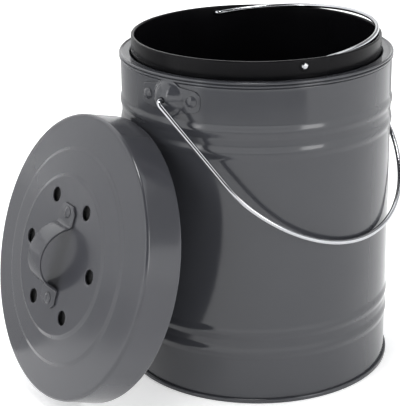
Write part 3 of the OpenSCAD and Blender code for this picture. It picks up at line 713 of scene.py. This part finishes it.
def strap_grid(line):
    """The strap as rows along a line of (x, z). Each row is a rounded rectangle: half its width across Y, half
    its thickness along the line's normal. The half width eases from the arch to the foot and is clipped at the
    end; both ends close to their middle."""
    way = np.gradient(line, axis=0)
    way /= np.linalg.norm(way, axis=1)[:, None]
    x = abs(line[:, 0])
    ease = np.clip((x - WIDER_FROM) / (fillet_x + 1.0 - WIDER_FROM), 0, 1)
    wide = (STRAP_W + (FOOT_W - STRAP_W) * ease * ease * (3 - 2 * ease)) / 2
    wide = wide - np.maximum(0, CLIP - (FOOT_END - x))
    quarter = rounded([(1, 0), (1, 1), (0, 1)], [0, 0.999, 0], 6)[1:-1]
    ring = np.vstack([quarter * (1, 1), quarter[::-1] * (-1, 1), quarter * (-1, -1), quarter[::-1] * (1, -1)])
    sign = np.sign(ring)
    y = sign[:, 0] * (wide[:, None] - EDGE_R) + ring[:, 0] * EDGE_R
    n = sign[:, 1] * (STRAP_T / 2 - EDGE_R) + ring[:, 1] * EDGE_R + 0 * y
    # at each end two more rows close the section: one a little smaller, one in its middle
    y = np.vstack([y[:1] * 0, y[:1] * 0.97, y, y[-1:] * 0.97, y[-1:] * 0])
    n = np.vstack([n[:1] * 0, n[:1] * 0.6, n, n[-1:] * 0.6, n[-1:] * 0])
    way = np.vstack([way[:1], way[:1], way, way[-1:], way[-1:]])
    at = np.vstack([line[:1], line[:1], line, line[-1:], line[-1:]])
    at[2] += way[0] * 0.15
    at[-3] -= way[-1] * 0.15
    up = np.stack([-way[:, 1], way[:, 0]], -1)
    flat = at[:, None] + n[..., None] * up[:, None]
    return np.stack([flat[..., 0], y, flat[..., 1]], -1)


skin("lid_handle_strap", leaned([(strap_grid(bent), False, True)]), "lid", ["lid_handle"], lid_coat_painted_light)
LID_RIVET_D, LID_RIVET_H, STRAP_AND_FACE, LID_RIVET_X = 8.4, 1.5, 2.3, 30
lid_rivet = rivet_grid(LID_RIVET_D, LID_RIVET_H, -STRAP_AND_FACE)
pair = [(lid_rivet + (s * LID_RIVET_X, 0, FACE_Z + STRAP_T), True, False) for s in (-1, 1)]
skin("lid_rivets_set", leaned(pair), "lid", ["lid_rivets"], lid_coat_painted_light)

# %% [markdown]
# ## The filter
# Under the vents a spun collar holds a disc of charcoal felt by friction. Felt is cut with a blade, so its
# edge is straight, but its faces swell a little between the needle rows. The disc is a turned profile with
# a slow uneven swell.

# %% Collar and pad
FILTER_R, COLLAR_H, FLANGE = 50.0, 11.0, 3.0
UNDER = FACE_Z - SHEET
collar_out, collar_end, flange_r = FILTER_R + SHEET, UNDER - COLLAR_H, FILTER_R - FLANGE
collar_line = rounded([
    (collar_out, UNDER), (collar_out, collar_end), (FILTER_R, collar_end), (FILTER_R, UNDER - SHEET),
    (flange_r, UNDER - SHEET), (flange_r, UNDER), (FILTER_R + SHEET / 2, UNDER)],
    [0, 0.3, 0.3, 0.5, 0.3, 0, 0], 5)
collar = leaned([(turned(dense(collar_line, 3)), True, True)])
skin("filter_collar_spun", collar, "lid", ["filter_collar"], sheet_steel)

PAD_R, PAD_T, PAD_TOP = 49.7, 8.0, UNDER - 2.4
PAD_EDGE, SWELL, SUNK, SWELL_FROM = 0.8, 0.18, 0.2, 3
pad_end = PAD_TOP - PAD_T
pad_line = rounded([
    (0, PAD_TOP), (PAD_R, PAD_TOP), (PAD_R, pad_end), (0, pad_end)], [0, PAD_EDGE, PAD_EDGE, 0], 6)
pad_grid = turned(dense(pad_line, 1.6), 144)
pad_x, pad_y, pad_z = pad_grid[..., 0], pad_grid[..., 1], pad_grid[..., 2]
swell = SWELL * np.sin(pad_x / 5.1 + 0.7) * np.sin(pad_y / 4.3) - SUNK
face_side = np.where(pad_z > PAD_TOP - PAD_T / 2, 1, -1)
inward = np.clip((PAD_R - np.hypot(pad_x, pad_y)) / SWELL_FROM, 0, 1)
pad_grid[..., 2] += swell * face_side * inward
pad = skin("filter_pad_felt", leaned([(pad_grid, True, False)]), "filter", ["filter_pad"], felt)

# %% [markdown]
# ## Studio
# A white sweep of floor in a white room, and above it cloth flags that the camera does not see. In front,
# where the camera stands, and overhead the room is dark, which gives the glossy wall its quiet field under
# the rim and the wires their black core. Grey flags at the side, on the floor in front and on the left take
# the glare off the coat. Those that lie in the light's way are only mirrored: they shade nothing. Two tall
# soft boxes stand beside the dark field, and one soft light overhead draws the thin line on the lid's
# shoulder.

# %% Floor
def stage_sheet(name, corners, tone, roughness, faces=None):
    """One sheet of the studio from its corners, in metres: a single face, or the faces given."""
    mesh = bpy.data.meshes.new(name)
    mesh.from_pydata(corners, [], faces or [tuple(range(len(corners)))])
    sheet = bpy.data.objects.new(name, mesh)
    scene.collection.objects.link(sheet)
    material, _, shader = finish_named(name + "_finish")
    shader.inputs["Base Color"].default_value = linear(tone)
    shader.inputs["Roughness"].default_value = roughness
    shader.inputs["Specular IOR Level"].default_value = 0.1
    mesh.materials.append(material)
    return sheet


SPAN, CLOTH = 6.0, 0.9
corners = [(-SPAN, -SPAN, 0), (SPAN, -SPAN, 0), (SPAN, SPAN, 0), (-SPAN, SPAN, 0)]
floor = stage_sheet("white_paper_sweep", corners, "#f7f7f7", CLOTH)
lit = floor.data.materials[0].node_tree.nodes["Principled BSDF"]
lit.inputs["Emission Color"].default_value = linear("#ffffff")
lit.inputs["Emission Strength"].default_value = 0.4


def flag_sheet(name, left, right, near, far, tone, mirrored_only=False):
    """A band of cloth between two arcs about Z, each given as (distance, height): its corners lie on both arcs,
    a step of a few degrees apart. With mirrored_only it takes no light from anything."""
    angles = np.radians(np.linspace(left, right, 25))
    edges = [np.stack([d * np.cos(angles), d * np.sin(angles), h + 0 * angles], -1) for d, h in (near, far)]
    n = len(angles)
    faces = [(i, i + 1, n + i + 1, n + i) for i in range(n - 1)]
    sheet = stage_sheet(name, np.vstack(edges).tolist(), tone, CLOTH, faces)
    sheet.visible_camera = False
    sheet.visible_diffuse = sheet.visible_shadow = not mirrored_only
    return sheet


# directions are angles about Z, in degrees; the camera stands at about -53
FRONT_LEFT, FRONT_RIGHT, SIDE_RIGHT = -97.0, -13.0, 120.0
FLAG_R, ROOF_R, FLAG_FOOT, FLAG_TOP, ON_FLOOR = 2.2, 1.4, 0.75, 2.4, 0.004
flag_foot, flag_top, flag_roof = (FLAG_R, FLAG_FOOT), (FLAG_R, FLAG_TOP), (ROOF_R, FLAG_TOP)
flag_sheet("grey_flag_floor", FRONT_LEFT, FRONT_RIGHT, (0.72, ON_FLOOR), (1.08, ON_FLOOR), "#a8a8a8", True)
flag_sheet("black_flag_front", FRONT_LEFT, FRONT_RIGHT, flag_foot, flag_top, "#101010")
flag_sheet("black_flag_above_front", FRONT_LEFT, FRONT_RIGHT, flag_top, flag_roof, "#101010")
flag_sheet("grey_flag_side", FRONT_RIGHT, SIDE_RIGHT, flag_foot, flag_top, "#9a9a9a")
flag_sheet("grey_flag_left", 95, 225, (0.11, ON_FLOOR), (FLAG_R, ON_FLOOR), "#b8b8b8", True)
flag_sheet("grey_flag_left_wall", 120, 225, (FLAG_R, ON_FLOOR), (FLAG_R, 1.2), "#eaeaea", True)
flag_sheet("black_flag_above", 0, 360, flag_roof, (0.01, FLAG_TOP), "#101010")
print("floor", 2 * SPAN, "m wide, flags from", FRONT_LEFT, "to", SIDE_RIGHT, "degrees")


# %% Lights
def around(angle, distance, height):
    """A place at a distance from the pail's axis, in a direction given as an angle about Z: x = distance cos angle,
    y = distance sin angle."""
    return (distance * math.cos(math.radians(angle)), distance * math.sin(math.radians(angle)), height)


def panel(name, place, target, width, height, power):
    """A rectangular soft light that looks from one point towards another."""
    light = bpy.data.lights.new(name, "AREA")
    light.shape, light.size, light.size_y, light.energy = "RECTANGLE", width, height, power
    lamp = bpy.data.objects.new(name, light)
    scene.collection.objects.link(lamp)
    lamp.location = place
    way = np.array(target, float) - place
    pan = math.atan2(way[1], way[0]) - math.pi / 2
    tilt = math.atan2(way[2], math.hypot(way[0], way[1])) + math.pi / 2
    lamp.rotation_euler = (tilt, 0, pan)
    return lamp


panel("box_left", around(-100, 2.0, 0.9), (0, 0, 0.3), 0.2, 1.2, 3.4)
panel("box_right", around(-7, 2.0, 0.9), (0, 0, 0.3), 0.7, 1.2, 11.9)
panel("top", around(-75, 0.2, 2.0), (0, 0, 0), 0.4, 0.55, 13)
world = bpy.data.worlds.new("bright_room")
scene.world = world
world.use_nodes = True
world.node_tree.nodes.clear()
room = add(world.node_tree, "ShaderNodeBackground", {"Color": linear("#fbfcfd"), "Strength": 1.9})
add(world.node_tree, "ShaderNodeOutputWorld", {"Surface": room.outputs[0]})
